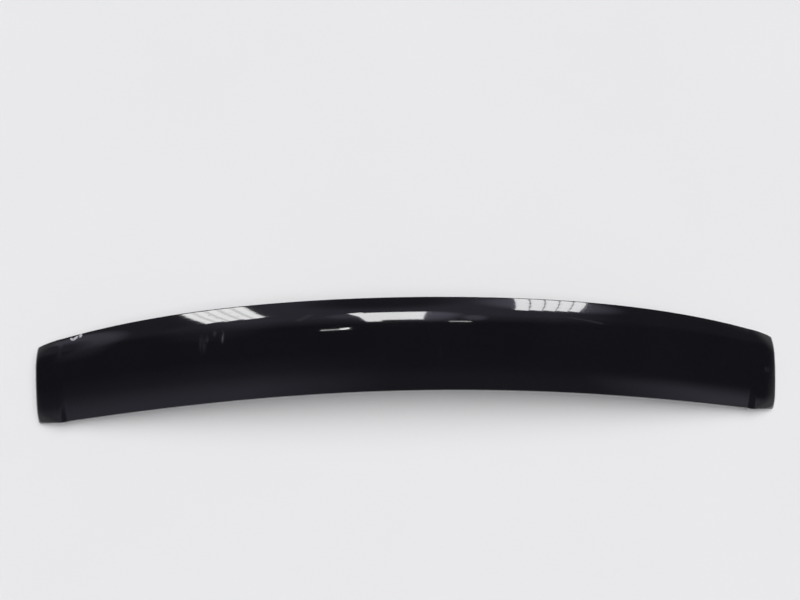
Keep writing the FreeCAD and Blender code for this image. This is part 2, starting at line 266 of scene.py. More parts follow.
def skin_outline(toe, lip, face_start, face_end, edge, heel, radius, thickness):
    """Closed sections through their corners, for a whole row of places at once.

    From the front: an upright lip, the ramp or rim, the face, the roll down to the trailing edge,
    its blunt tip, the undercut rear and the underside. The three arcs run on smoothly, and the
    other corners are rounded. Returns points by place and step, and a mark for the bare underside.
    """
    tip = edge - np.array([0.0, thickness])
    face_centre = crowned_centre(face_start, face_end, radius)
    ramp_centre = tangent_centre(face_start, face_centre, lip)
    roll_centre = tangent_centre(face_end, face_centre, edge)
    front = line_run(toe, lip, SOFT["toe"], SOFT["lip"], COUNT["front"])
    ramp = arc_run(ramp_centre, lip, face_start, SOFT["lip"], 0.0, COUNT["ramp"])
    face = arc_run(face_centre, face_start, face_end, 0.0, 0.0, COUNT["face"])
    roll = arc_run(roll_centre, face_end, edge, 0.0, SOFT["edge"], COUNT["roll"])
    blunt = line_run(edge, tip, SOFT["edge"], SOFT["tip"], COUNT["blunt"])
    rear = line_run(tip, heel, SOFT["tip"], SOFT["heel"], COUNT["rear"])
    under = line_run(heel, toe, SOFT["heel"], SOFT["toe"], COUNT["under"])
    runs = [
        front,
        corner_run(front, lip, ramp),
        ramp[:, :-1],
        face[:, :-1],
        roll,
        corner_run(roll, edge, blunt),
        blunt,
        corner_run(blunt, tip, rear),
        rear,
        corner_run(rear, heel, under),
        under,
        corner_run(under, toe, front),
    ]
    bare = [np.full(run.shape[1], index >= FIRST_BARE_RUN) for index, run in enumerate(runs)]
    return np.concatenate(runs, axis=1), np.concatenate(bare)


def main_outline(form, x):
    """Sections between the feet, where the leading edge is a ramp down to a thin lip."""
    base = arch(form, x)
    front = leading_edge(form, x)
    rear = trailing_edge(form, x)
    return skin_outline(
        toe=pair(front, base),
        lip=pair(front, base + form.lip_height),
        face_start=pair(front + form.ramp_depth, base + form.ramp_height),
        face_end=pair(rear - form.roll_depth, base + form.roll_height),
        edge=pair(rear, base + form.edge_height),
        heel=pair(rear - form.edge_undercut, base),
        radius=form.face_radius,
        thickness=form.edge_thickness,
    )


def foot_outline(form, reach, turn):
    """Sections of a foot, sloped at its front and flat below, drawn in by one less the turn's cosine."""
    shrink = 1 - np.cos(turn)
    inset = form.end_round * shrink
    front = form.corner_depth * shrink
    along = np.clip((reach - foot_start(form)) / form.foot_width, 0.0, 1.0)
    rear = trailing_edge(form, reach) - form.tail_sweep * along**2 - form.tail_round * shrink
    face_end = rear - form.roll_depth
    rise = (form.roll_height - form.foot_height) * front / face_end
    level = arch(form, reach) - form.end_drop * along**2
    brow = level + form.foot_height + rise
    return skin_outline(
        toe=pair(front, 0.0),
        lip=pair(front, brow - form.rim_drop),
        face_start=pair(front + form.foot_rim - inset, brow - inset),
        face_end=pair(face_end, level + form.roll_height - inset),
        edge=pair(rear, level + form.edge_height - inset),
        heel=pair(rear - form.edge_undercut, 0.0),
        radius=form.foot_radius,
        thickness=form.edge_thickness,
    )


# Sections of half the body: between the feet, over a shoulder, over a foot and round an end.
MAIN_STEPS = 170
SHOULDER_STEPS = 12
FOOT_STEPS = 12
ROUND_STEPS = 12


def body_skin(form):
    """The outer skin of the right half, as sections from the middle out to the end.

    Between the feet each section follows the arch and the two bows. Over the shoulder the main
    section blends into the foot's by a smooth step. The foot's sections swing out towards the end,
    and the end's last quarter turn draws them in: across by the sine, down and back by one less
    the cosine.
    """
    inner = shoulder_start(form)
    start = foot_start(form)
    round_start = form.half_span - form.end_round
    main_x = np.linspace(0.0, inner, MAIN_STEPS)
    main, bare = main_outline(form, main_x)
    step = np.linspace(0.0, 1.0, SHOULDER_STEPS + 2)[1:-1]
    shoulder_x = inner + form.shoulder_width * step
    foot_x = np.linspace(start, round_start, FOOT_STEPS)
    foot, _ = foot_outline(form, foot_x, np.zeros(FOOT_STEPS))
    weight = (step**2 * (3 - 2 * step))[:, None, None]
    ramp_side, _ = main_outline(form, shoulder_x)
    foot_side, _ = foot_outline(form, shoulder_x, np.zeros(SHOULDER_STEPS))
    shoulder = (1 - weight) * ramp_side + weight * foot_side
    turn = np.linspace(0.0, np.pi / 2, ROUND_STEPS + 1)[1:]
    round_x = round_start + form.end_round * np.sin(turn)
    end, _ = foot_outline(form, round_x, turn)

    across = np.concatenate([main_x, shoulder_x, foot_x, round_x])[:, None]
    sections = np.concatenate([main, shoulder, foot, end])
    swing = form.end_sweep * np.clip(across - start, 0.0, None) / form.foot_width
    depth = sections[:, :, 0]
    return across + depth * np.sin(swing), depth * np.cos(swing), sections[:, :, 1], bare


def grid_quads(rows, columns, close_columns=False):
    """Quads of a grid of points numbered row by row, with its columns joined into rings if asked."""
    row, column = np.meshgrid(
        np.arange(rows - 1), np.arange(columns if close_columns else columns - 1), indexing="ij"
    )
    right = (column + 1) % columns
    here = row * columns
    there = here + columns
    corners = [here + column, here + right, there + right, there + column]
    return np.stack(corners, axis=-1).reshape(-1, 4)


def cap_rings(outline, shrinks):
    """Rings drawn in from a closed outline to its middle, by a list of shares."""
    middle = outline.mean(axis=0)
    shares = np.array(shrinks)[:, None, None]
    return middle + (outline - middle) * shares


def new_object(name, data):
    """An object at the origin, linked to the scene."""
    item = bpy.data.objects.new(name, data)
    bpy.context.scene.collection.objects.link(item)
    return item


class Shell:
    """Points, faces and finishes of one piece, gathered from several surfaces."""

    def __init__(self):
        self.points = []
        self.faces = []
        self.finishes = []
        self.count = 0

    def add(self, points, quads, finish=0):
        """Take in a surface with one finish, or with one for each quad."""
        flat = points.reshape(-1, 3)
        self.points.append(flat)
        self.faces.append(quads + self.count)
        self.finishes.append(np.broadcast_to(finish, len(quads)))
        self.count += len(flat)

    def add_capped(self, rings, shares, finish=0):
        """Take in a row of closed rings, and close both ends with rings drawn in to their middles."""
        rows, columns = rings.shape[:2]
        self.add(rings, grid_quads(rows, columns, True), finish)
        for outline in (rings[0], rings[-1]):
            cap = np.concatenate([outline[None], cap_rings(outline, shares)])
            self.add(cap, grid_quads(len(cap), columns, True))

    def add_turned(self, profile, segments, centre, finish=0, groove=0.0):
        """Take in a profile turned about an upright axis."""
        self.add(lathe(profile, segments, centre, groove), grid_quads(len(profile), segments, True), finish)

    def piece(self, name, materials, merge=None):
        """The object, shaded smooth, with points that lie within the merge distance joined."""
        points = np.concatenate(self.points)
        faces = np.concatenate(self.faces)
        mesh = bpy.data.meshes.new(name)
        mesh.from_pydata(points.tolist(), [], faces.tolist())
        for material in materials:
            mesh.materials.append(material)
        mesh.polygons.foreach_set("material_index", np.concatenate(self.finishes).astype(np.int32))
        mesh.polygons.foreach_set("use_smooth", np.ones(len(faces), dtype=bool))
        mesh.update()
        if merge is not None:
            merge_doubles(mesh, merge)
        return new_object(name, mesh)


def merge_doubles(mesh, distance):
    """Join points that lie on each other, drop faces without area and turn the rest outwards."""
    work = bmesh.new()
    work.from_mesh(mesh)
    bmesh.ops.remove_doubles(work, verts=work.verts, dist=distance)
    bmesh.ops.dissolve_degenerate(work, edges=work.edges, dist=distance / 10)
    bmesh.ops.recalc_face_normals(work, faces=work.faces)
    work.to_mesh(mesh)
    work.free()
    mesh.update()


def lathe(profile, segments, centre, groove):
    """A profile of radii, less a groove, and heights, turned row by row about an upright axis."""
    angle = np.linspace(0.0, 2 * np.pi, segments, endpoint=False)
    radius = profile[:, 0][:, None] - groove
    x = centre[0] + radius * np.cos(angle)
    y = centre[1] + radius * np.sin(angle)
    z = centre[2] + np.broadcast_to(profile[:, 1][:, None], x.shape)
    return np.stack([x, y, z], axis=-1)


def stud_seats(form, fixings):
    """Axis and boss face of each stud, in the shared frame."""
    half = np.array([fixings.inner_spacing, fixings.outer_spacing]) / 2
    reach = np.concatenate([-half[::-1], half])
    return in_frame(form, reach, fixings.stud_setback, arch(form, reach) - fixings.boss_drop)


def settings(context):
    """The four groups of settings, in the order of the panel."""
    scene = context.scene
    return scene.spoiler_form, scene.spoiler_fixings, scene.spoiler_finish, scene.spoiler_stage


def new_material(name):
    """A node material, its graph and the inputs of its principled shader."""
    material = bpy.data.materials.new(name)
    material.use_nodes = True
    return material, Graph(material), material.node_tree.nodes["Principled BSDF"].inputs


class Graph:
    """Adds nodes to a material or a world, and joins them."""

    def __init__(self, owner):
        self.nodes = owner.node_tree.nodes
        self.links = owner.node_tree.links
        self.coordinates = self.nodes.new("ShaderNodeTexCoord").outputs
        self.place = self.coordinates["Object"]

    def join(self, value, socket):
        """Join an output to an input, or set the input to a plain value."""
        if isinstance(value, bpy.types.NodeSocket):
            self.links.new(value, socket)
        else:
            socket.default_value = value

    def node(self, kind, values, **traits):
        """A new node of a kind with its traits, and with values in its inputs by name or number."""
        node = self.nodes.new(kind)
        for name, trait in traits.items():
            setattr(node, name, trait)
        for key, value in values.items():
            self.join(value, node.inputs[key])
        return node

    def noise(self, scale, detail=2.0, roughness=0.5, stretch=None):
        """Noise over the object's own coordinates, stretched along an axis if asked."""
        source = self.place
        if stretch is not None:
            source = self.node("ShaderNodeMapping", {"Vector": source, "Scale": stretch}).outputs["Vector"]
        values = {"Vector": source, "Scale": scale, "Detail": detail, "Roughness": roughness}
        return self.node("ShaderNodeTexNoise", values).outputs["Fac"]

    def cells(self, scale):
        """Distance to the nearest of many scattered points."""
        return self.node("ShaderNodeTexVoronoi", {"Vector": self.place, "Scale": scale}).outputs["Distance"]

    def spread(self, value, low=0.0, high=1.0, to_low=0.0, to_high=1.0, smooth=False):
        """The value carried from one range to another, held at its ends, in an S curve if asked."""
        values = {"Value": value, "From Min": low, "From Max": high, "To Min": to_low, "To Max": to_high}
        curve = "SMOOTHSTEP" if smooth else "LINEAR"
        return self.node("ShaderNodeMapRange", values, interpolation_type=curve).outputs["Result"]

    def math(self, operation, first, *others):
        """Values, each a number or an output, joined one after another by an operation."""
        for other in others:
            first = self.node("ShaderNodeMath", {0: first, 1: other}, operation=operation).outputs["Value"]
        return first

    def blend(self, factor, first, second):
        """A colour between two, by a factor."""
        node = self.node("ShaderNodeMix", {"Factor": factor}, data_type="RGBA")
        ends = [socket for socket in node.inputs if socket.type == "RGBA"]
        for value, socket in zip((first, second), ends):
            self.join(value if isinstance(value, bpy.types.NodeSocket) else (*value, 1.0), socket)
        return next(socket for socket in node.outputs if socket.type == "RGBA")

    def spot(self, place, size, turn=0.0):
        """One at a place, falling evenly to nothing at the skin of an ellipsoid turned about the upright."""
        values = {"Vector": self.place, "Location": place, "Rotation": (0.0, 0.0, turn), "Scale": size}
        inside = self.node("ShaderNodeMapping", values, vector_type="TEXTURE").outputs["Vector"]
        reach = self.node("ShaderNodeVectorMath", {0: inside}, operation="LENGTH").outputs["Value"]
        return self.spread(reach, to_low=1.0, to_high=0.0)

    def toward(self, source, direction):
        """Cosine of the angle between a unit vector and a direction."""
        values = {0: source, 1: Vector(direction).normalized()}
        return self.node("ShaderNodeVectorMath", values, operation="DOT_PRODUCT").outputs["Value"]

    def relief(self, height, distance, strength, normal=None):
        """A normal bumped by a height, on top of another if given."""
        values = {"Height": height, "Distance": distance, "Strength": strength}
        if normal is not None:
            values["Normal"] = normal
        return self.node("ShaderNodeBump", values).outputs["Normal"]


def lighter(base, factor, offset=0.0):
    """A colour times a factor plus an offset, held at white."""
    return tuple(min(1.0, channel * factor + offset) for channel in base)


# Place, half sizes and turn of each pale fleck at the left end of the trailing edge: painted highlights,
# given the roughness and bump of chips in the paint.
HIGHLIGHT_CHIPS = (
    ((-0.4862, 0.0410, 0.0315), (0.0040, 0.0048, 0.0060), 0.0),
    ((-0.4995, 0.0364, 0.0298), (0.0058, 0.0028, 0.0050), -0.5),
    ((-0.4940, 0.0374, 0.0308), (0.0078, 0.0034, 0.0050), 0.7),
)
# Place, half sizes and strength of each scuff.
SCUFFS = (
    ((-0.2735, 0.0300, 0.0685), (0.0034, 0.0110, 0.0120), 1.6),
    ((-0.2845, 0.0354, 0.0680), (0.0030, 0.0060, 0.0120), 0.7),
    ((-0.2957, 0.0273, 0.0660), (0.0036, 0.0075, 0.0120), 0.6),
    ((-0.3010, 0.0215, 0.0650), (0.0070, 0.0170, 0.0140), 0.4),
    ((0.0336, 0.0015, 0.0807), (0.0026, 0.0140, 0.0120), 0.35),
    ((0.5340, -0.0240, 0.0238), (0.0090, 0.0060, 0.0060), 0.3),
)
# How much dust, film and scuffs show in the colour of the paint.
FAINT = 0.10


def gloss_paint(finish):
    """Black paint under clear coat: faint orange peel and ripple, dust, scuffs, and pale flecks shaped like
    chips that are painted highlights.
    """
    material, graph, inputs = new_material("gloss_black_paint")
    dust = graph.spread(graph.noise(2600.0, detail=1.0), 0.70, 0.76)
    film = graph.spread(graph.noise(9.0, detail=3.0), 0.35, 0.75)
    grain = graph.noise(300.0, detail=3.0, roughness=0.6, stretch=(1.0, 0.15, 0.15))
    streaks = graph.spread(grain, 0.36, 0.58)
    rubbed = [graph.math("MULTIPLY", graph.spot(place, size), strength) for place, size, strength in SCUFFS]
    scuff = graph.math("MULTIPLY", streaks, graph.math("MAXIMUM", *rubbed))
    # Flecks at the left end of the trailing edge, painted pale as highlights and made rough and bumped like
    # chips.
    flecks = [graph.spot(place, size, turn) for place, size, turn in HIGHLIGHT_CHIPS]
    ragged = graph.noise(700.0, detail=2.0, roughness=0.6)
    highlight_chip = graph.spread(graph.math("ADD", ragged, graph.math("MAXIMUM", *flecks)), 0.86, 0.94)
    dusty = graph.blend(graph.math("MULTIPLY", dust, FAINT), finish.paint, finish.dust)
    haze = lighter(finish.paint, factor=2.0, offset=0.004)
    hazy = graph.blend(graph.math("MULTIPLY", film, FAINT), dusty, haze)
    scuffed = graph.blend(graph.math("MULTIPLY", scuff, FAINT), hazy, finish.scuff)
    # The flecks take the pale colour as a painted highlight.
    graph.join(graph.blend(highlight_chip, scuffed, finish.primer), inputs["Base Color"])
    clean = graph.spread(film, to_low=0.045, to_high=0.075)
    rough = graph.math("MAXIMUM", clean, graph.spread(scuff, to_high=0.24), graph.spread(highlight_chip, to_high=0.6))
    graph.join(rough, inputs["Roughness"])
    ripple = graph.relief(graph.noise(16.0, detail=1.0), distance=0.0006, strength=0.10)
    peel = graph.relief(graph.noise(620.0, detail=1.0), distance=0.0002, strength=0.025, normal=ripple)
    graph.join(graph.relief(highlight_chip, distance=0.0003, strength=0.4, normal=peel), inputs["Normal"])
    inputs["Coat Weight"].default_value = 1.0
    inputs["Coat Roughness"].default_value = 0.02
    inputs["Coat IOR"].default_value = 1.5
    return material


def moulded_plastic(finish):
    """Unpainted black plastic: a fine spark-eroded grain with flow marks along the moulding."""
    material, graph, inputs = new_material("moulded_black_plastic")
    moulding = finish.moulding
    grain = graph.noise(1500.0, detail=3.0, roughness=0.6)
    flow = graph.noise(22.0, detail=4.0, roughness=0.55, stretch=(0.35, 1.0, 1.0))
    marks = graph.spread(flow, 0.35, 0.7)
    graph.join(graph.blend(marks, moulding, lighter(moulding, factor=1.7)), inputs["Base Color"])
    rough = graph.spread(flow, 0.3, 0.7, to_low=0.40, to_high=0.58)
    graph.join(rough, inputs["Roughness"])
    graph.join(graph.relief(grain, distance=0.0002, strength=0.25), inputs["Normal"])
    return material


def plated_steel(finish):
    """Zinc-plated steel with a faint yellow cast in patches."""
    material, graph, inputs = new_material("zinc_plated_steel")
    patches = graph.spread(graph.noise(420.0, detail=3.0), 0.4, 0.65)
    graph.join(graph.blend(patches, finish.steel, finish.cast), inputs["Base Color"])
    fine = graph.noise(1600.0, detail=2.0)
    graph.join(graph.spread(fine, 0.3, 0.7, to_low=0.24, to_high=0.42), inputs["Roughness"])
    inputs["Metallic"].default_value = 1.0
    return material


# Cells per metre of the foams.
SEAL_CELLS = 1500.0
TAPE_CELLS = 2200.0


def foam(name, base, cell_scale):
    """Closed-cell foam: small dimpled cells, each a little lighter or darker, with painted shade that
    darkens each cell towards its pit.
    """
    material, graph, inputs = new_material(name)
    cells = graph.cells(cell_scale)
    mottle = graph.spread(graph.noise(cell_scale / 6.0, detail=3.0), 0.35, 0.65)
    shade = graph.blend(mottle, lighter(base, factor=0.75), lighter(base, factor=1.3))
    # Painted shade: each cell is darker towards its pit.
    pit_shade = graph.spread(cells, high=0.45)
    graph.join(graph.blend(pit_shade, lighter(base, factor=0.5), shade), inputs["Base Color"])
    graph.join(graph.relief(cells, distance=0.0004, strength=0.6), inputs["Normal"])
    inputs["Roughness"].default_value = 0.86
    inputs["Specular IOR Level"].default_value = 0.3
    return material


# Which of the body's two materials a face takes.
PAINTED = 0
BARE = 1

# Points closer than this are joined: on the large skin, and on the small pieces.
SKIN_MERGE = 1e-6
SMALL_MERGE = 1e-7

# Points of a small quarter round, a row part-way up a boss, and segments about an upright axis.
ROUND_POINTS = 5
BOSS_ROW = 0.6
BOSS_SEGMENTS = 64
STUD_SEGMENTS = 40
SEAL_SEGMENTS = 72
PAD_SEGMENTS = 64

# Shares by which the rings of an end are drawn in to its middle.
BODY_CAP = (0.7, 0.35, 0.0)
TAPE_CAP = (0.5, 0.0)
PAD_CAP = (0.6, 0.3, 0.0)


def boss_profile(fixings):
    """Radii and heights of a boss: its buried top, its wall, a quarter round and its blind hole."""
    radius = fixings.boss_diameter / 2
    bore = fixings.stud_diameter / 2
    fillet = fixings.boss_round
    turn = np.linspace(0.0, np.pi / 2, ROUND_POINTS)
    wall = pair(np.array([0.0, radius, radius]), np.array([1.0, 1.0, BOSS_ROW]) * fixings.boss_height)
    rim = pair(radius - fillet + fillet * np.cos(turn), fillet - fillet * np.sin(turn))
    hole = pair(np.array([bore, bore, 0.0]), np.array([0.0, 1.0, 1.0]) * fixings.stud_embed)
    return np.concatenate([wall, rim, hole])


class SPOILER_OT_build_body(bpy.types.Operator):
    """Build the painted body with its bosses"""

    bl_idname = "spoiler.build_body"
    bl_label = "Build Body"

    def execute(self, context):
        form, fixings, finish, _ = settings(context)
        x, y, z, bare = body_skin(form)
        # The left half mirrors the right one, and leaves out the section in the middle.
        right = in_frame(form, x, y, z)
        left = right[:0:-1] * np.array([-1.0, 1.0, 1.0])
        skin = np.concatenate([left, right])
        under = np.tile(bare & np.roll(bare, -1), len(skin) - 1)
        shell = Shell()
        shell.add_capped(skin, BODY_CAP, np.where(under, BARE, PAINTED))
        for seat in stud_seats(form, fixings):
            shell.add_turned(boss_profile(fixings), BOSS_SEGMENTS, seat, BARE)
        item = shell.piece("spoiler_skin", [gloss_paint(finish), moulded_plastic(finish)], SKIN_MERGE)
        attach(item, BODY)
        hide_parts("spoiler_body")
        return {"FINISHED"}


# Rows of the tip's bevel and of the shank, the thread's slope and flat crest, and what counts as sharp.
BEVEL_STEPS = 5
SHANK_STEPS = 160
FLANK_SLOPE = 2.4
CREST_FLAT = 0.1
SHARP_ANGLE = math.radians(38.0)


def stud_profile(fixings):
    """Radii and heights from the tip up, and the share of its full depth that the thread has there.

    A flat bevelled tip, the threaded shank, the collar with small bevels, and the shank in its boss.
    """
    radius = fixings.stud_diameter / 2
    collar = fixings.collar_diameter / 2
    collar_bevel = fixings.collar_bevel
    tip_bevel = fixings.tip_bevel
    low = -fixings.stud_reach
    seat = -fixings.collar_height
    tip = pair(np.array([0.0, 0.5, 1.0]) * (radius - tip_bevel), low)
    step = np.linspace(0.0, tip_bevel, BEVEL_STEPS + 1)[1:]
    slope = pair(radius - tip_bevel + step, low + step)
    shank = pair(radius, np.linspace(low + tip_bevel, seat, SHANK_STEPS + 1)[1:])
    ring = pair(
        np.array([collar - collar_bevel, collar, collar, collar - collar_bevel, radius]),
        np.array([seat, seat + collar_bevel, -collar_bevel, 0.0, 0.0]),
    )
    top = pair(np.array([radius, 0.0]), fixings.stud_embed)
    profile = np.concatenate([tip, slope, shank, ring, top])
    height = profile[:, 1]
    fade_in = np.clip((height - low) / tip_bevel, 0.0, 1.0)
    fade_out = np.clip((seat - fixings.thread_gap - height) / fixings.thread_fade, 0.0, 1.0)
    return profile, fade_in * fade_out


def thread_groove(fixings, height, depth_share):
    """Depth of the thread's groove by height and turn.

    The height in pitches less the share of a turn gives a triangle wave, cut flat at crest and root.
    """
    turn = np.linspace(0.0, 1.0, STUD_SEGMENTS, endpoint=False)
    wave = (height[:, None] / fixings.thread_pitch - turn) % 1.0
    flank = np.clip(FLANK_SLOPE * np.abs(wave - 0.5) - CREST_FLAT, 0.0, 1.0)
    return flank * fixings.thread_depth * depth_share[:, None]


class SPOILER_OT_build_studs(bpy.types.Operator):
    """Build the threaded mounting studs"""

    bl_idname = "spoiler.build_studs"
    bl_label = "Build Studs"

    def execute(self, context):
        form, fixings, finish, _ = settings(context)
        profile, depth_share = stud_profile(fixings)
        groove = thread_groove(fixings, profile[:, 1], depth_share)
        shell = Shell()
        for seat in stud_seats(form, fixings):
            shell.add_turned(profile, STUD_SEGMENTS, seat, groove=groove)
        item = shell.piece("threaded_studs", [plated_steel(finish)], SMALL_MERGE)
        item.data.set_sharp_from_angle(angle=SHARP_ANGLE)
        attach(item, BODY)
        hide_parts("mounting_studs")
        return {"FINISHED"}


# Points round the sections of seals and tape, and sections along the tape.
SEAL_SECTION_STEPS = 48
TAPE_SECTION_STEPS = 32
TAPE_STEPS = 241


def soft_section(wide, high, steps, power=7.0):
    """A rectangle with soft corners: cosine and sine raised to a small power, times the half sizes."""
    angle = np.linspace(0.0, 2 * np.pi, steps, endpoint=False)
    cosine = np.cos(angle)
    sine = np.sin(angle)
    across = np.sign(cosine) * np.abs(cosine) ** (2 / power) * wide / 2
    up = np.sign(sine) * np.abs(sine) ** (2 / power) * high / 2
    return pair(across, up)


class SPOILER_OT_build_seals(bpy.types.Operator):
    """Build the foam seals round the studs"""

    bl_idname = "spoiler.build_seals"
    bl_label = "Build Seals"

    def execute(self, context):
        form, fixings, finish, _ = settings(context)
        # A soft section turned about the axis of each stud.
        outer = fixings.boss_diameter / 2
        inner = fixings.collar_diameter / 2 + fixings.seal_clearance
        section = soft_section(outer - inner, fixings.seal_height, SEAL_SECTION_STEPS)
        section = section + np.array([(outer + inner) / 2, -fixings.seal_height / 2])
        ring = np.concatenate([section, section[:1]])
        shell = Shell()
        for seat in stud_seats(form, fixings):
            shell.add_turned(ring, SEAL_SEGMENTS, seat)
        material = foam("seal_foam_rubber", finish.seal_foam, SEAL_CELLS)
        item = shell.piece("foam_seals", [material], SMALL_MERGE)
        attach(item, BODY)
        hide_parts("stud_seals")
        return {"FINISHED"}


class SPOILER_OT_build_tape(bpy.types.Operator):
    """Build the foam tape under the leading edge"""

    bl_idname = "spoiler.build_tape"
    bl_label = "Build Tape"

    def execute(self, context):
        form, fixings, finish, _ = settings(context)
        # A soft section carried along the leading edge, under the arch.
        reach = shoulder_start(form)
        x = np.linspace(-reach, reach, TAPE_STEPS)[:, None]
        section = soft_section(fixings.tape_width, fixings.tape_height, TAPE_SECTION_STEPS)
        y = leading_edge(form, x) + fixings.tape_setback + fixings.tape_width / 2 + section[:, 0]
        z = arch(form, x) - fixings.tape_height / 2 + section[:, 1]
        shell = Shell()
        shell.add_capped(in_frame(form, x, y, z), TAPE_CAP)
        material = foam("tape_foam", finish.tape_foam, TAPE_CELLS)
        item = shell.piece("foam_tape", [material], SMALL_MERGE)
        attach(item, BODY)
        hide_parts("leading_edge_tape")
        return {"FINISHED"}


def pad_rings(form, fixings):
    """Rings down a pad, counted across from the middle of its foot.

    A ring is a circle whose quarters are moved apart to the corners of a rectangle. At the top and
    at the bottom a quarter round draws the rings in.
    """
    half = form.pad_height / 2
    edge = fixings.pad_edge
    turn = np.linspace(np.pi / 2, 0.0, ROUND_POINTS)
    upper = pair(edge * (1 - np.cos(turn)), half - edge + edge * np.sin(turn))
    profile = np.concatenate([upper, upper[::-1] * np.array([1.0, -1.0])])
    angle = np.linspace(0.0, 2 * np.pi, PAD_SEGMENTS, endpoint=False)
    radius = fixings.pad_corner - profile[:, 0][:, None]
    inset = fixings.pad_margin + fixings.pad_corner
    middle = (form.end_chord - form.edge_undercut) / 2
    wide = form.foot_width / 2 - inset
    deep = middle - inset
    x = np.where(np.cos(angle) >= 0, wide, -wide) + radius * np.cos(angle)
    y = np.where(np.sin(angle) >= 0, deep, -deep) + radius * np.sin(angle) + middle
    return x, y, profile[:, 1][:, None] - half


class SPOILER_OT_build_foot_pads(bpy.types.Operator):
    """Build the foam pads under the feet"""

    bl_idname = "spoiler.build_foot_pads"
    bl_label = "Build Foot Pads"

    def execute(self, context):
        form, fixings, finish, _ = settings(context)
        x, y, z = pad_rings(form, fixings)
        reach = form.half_span - form.foot_width / 2
        material = foam("pad_foam", finish.tape_foam, TAPE_CELLS)
        for side, sign in (("left", -1.0), ("right", 1.0)):
            shell = Shell()
            shell.add_capped(in_frame(form, x + sign * reach, y, z), PAD_CAP)
            item = shell.piece(f"{side}_foam_pad", [material], SMALL_MERGE)
            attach(item, BODY)
            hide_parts(f"{side}_foot_pad")
        return {"FINISHED"}


FLOOR_REACH = 60.0
FLOOR_STEPS = 7

# Direction of each halo, degrees from there to its core and its rim, and radiance, below zero for shade.
HALOS = (
    ((0.42, 0.57, 0.705), 5.0, 13.0, 0.40),
    ((0.105, 0.30, 0.948), 0.0, 6.0, 0.50),
    ((0.225, 0.255, 0.942), 0.0, 2.4, 0.32),
    ((-0.02, 0.64, 0.768), 5.0, 15.0, -0.14),
    ((-0.125, 0.315, 0.94), 0.0, 4.0, 0.18),
    ((-0.45, 0.28, 0.85), 2.0, 11.0, 0.05),
)
RING_MIDDLE = (-0.867, 0.228, 0.444)
BASE_GLOW = 0.02
GLOW_GAIN = 1.17
HORIZON_RADIANCE = 0.28
HORIZON_TINT = (0.95, 0.96, 1.0)
OVERHEAD_TINT = (0.82, 0.79, 1.0)

SUN_SPREAD = math.radians(80.0)
SUN_TURN = (math.radians(-14.0), math.radians(10.0), 0.0)
CEILING = 2.4

# Near left, near right, far left and far right corners of the rows of panes.
LEFT_CORNERS = ((-1.73, 1.16), (-1.12, 1.12), (-2.75, 2.96), (-1.80, 2.87))
RIGHT_CORNERS = ((1.055, 1.23), (1.77, 1.42), (1.38, 2.89), (2.49, 3.04))
# Corners, height, panes, share of the width that they fill, and radiance of each row.
PANE_ROWS = {
    "left": (LEFT_CORNERS, CEILING - 0.01, 5, 0.66, 2.9),
    "left_back": (LEFT_CORNERS, CEILING, 3, 1.0, 6.1),
    "right": (RIGHT_CORNERS, CEILING, 5, 0.90, 8.0),
}
PANE_LINKS = 4
# Middle, turn and size of each part of the panel over the middle.
MIDDLE_PANEL = {
    "middle_panel": ((-0.015, 0.81), 0.0, (0.47, 0.38)),
    "middle_left_end": ((-0.258, 0.817), 0.385, (0.125, 0.445)),
    "middle_left_foot": ((-0.165, 0.61), 0.0, (0.11, 0.05)),
    "middle_right_end": ((0.212, 0.81), -0.10, (0.05, 0.385)),
}
MIDDLE_RADIANCE = 8.3
# Start, end, thickness and radiance of each tube.
TUBES = {
    "left_tube": ((-0.588, 0.395), (-0.435, 0.402), 0.03, 4.0),
    "left_tube_end": ((-0.435, 0.402), (-0.36, 0.42), 0.04, 11.0),
    "right_tube": ((0.425, 0.560), (0.600, 0.560), 0.017, 6.0),
    "left_streak": ((-0.79, 0.70), (-0.71, 1.09), 0.05, 0.12),
    "right_streak": ((1.52, 0.85), (1.83, 0.69), 0.05, 0.2),
}

CAMERA_PLACE = (-0.0595, -0.1063, 0.9479)
CAMERA_DEGREES = {"X": 12.0, "Y": -2.402, "Z": -0.683}
FOCAL_LENGTH = 28.08


def area_lamp(name, place, turn, size, radiance):
    """A rectangular lamp on the ceiling, turned about the upright, that only gloss mirrors.

    Its power is its radiance times pi times its area.
    """
    lamp = bpy.data.lights.new(name, "AREA")
    lamp.shape = "RECTANGLE"
    lamp.size, lamp.size_y = size
    lamp.energy = radiance * math.pi * size[0] * size[1]
    item = new_object(name, lamp)
    item.location = place
    item.rotation_euler = (0.0, 0.0, turn)
    item.visible_diffuse = False


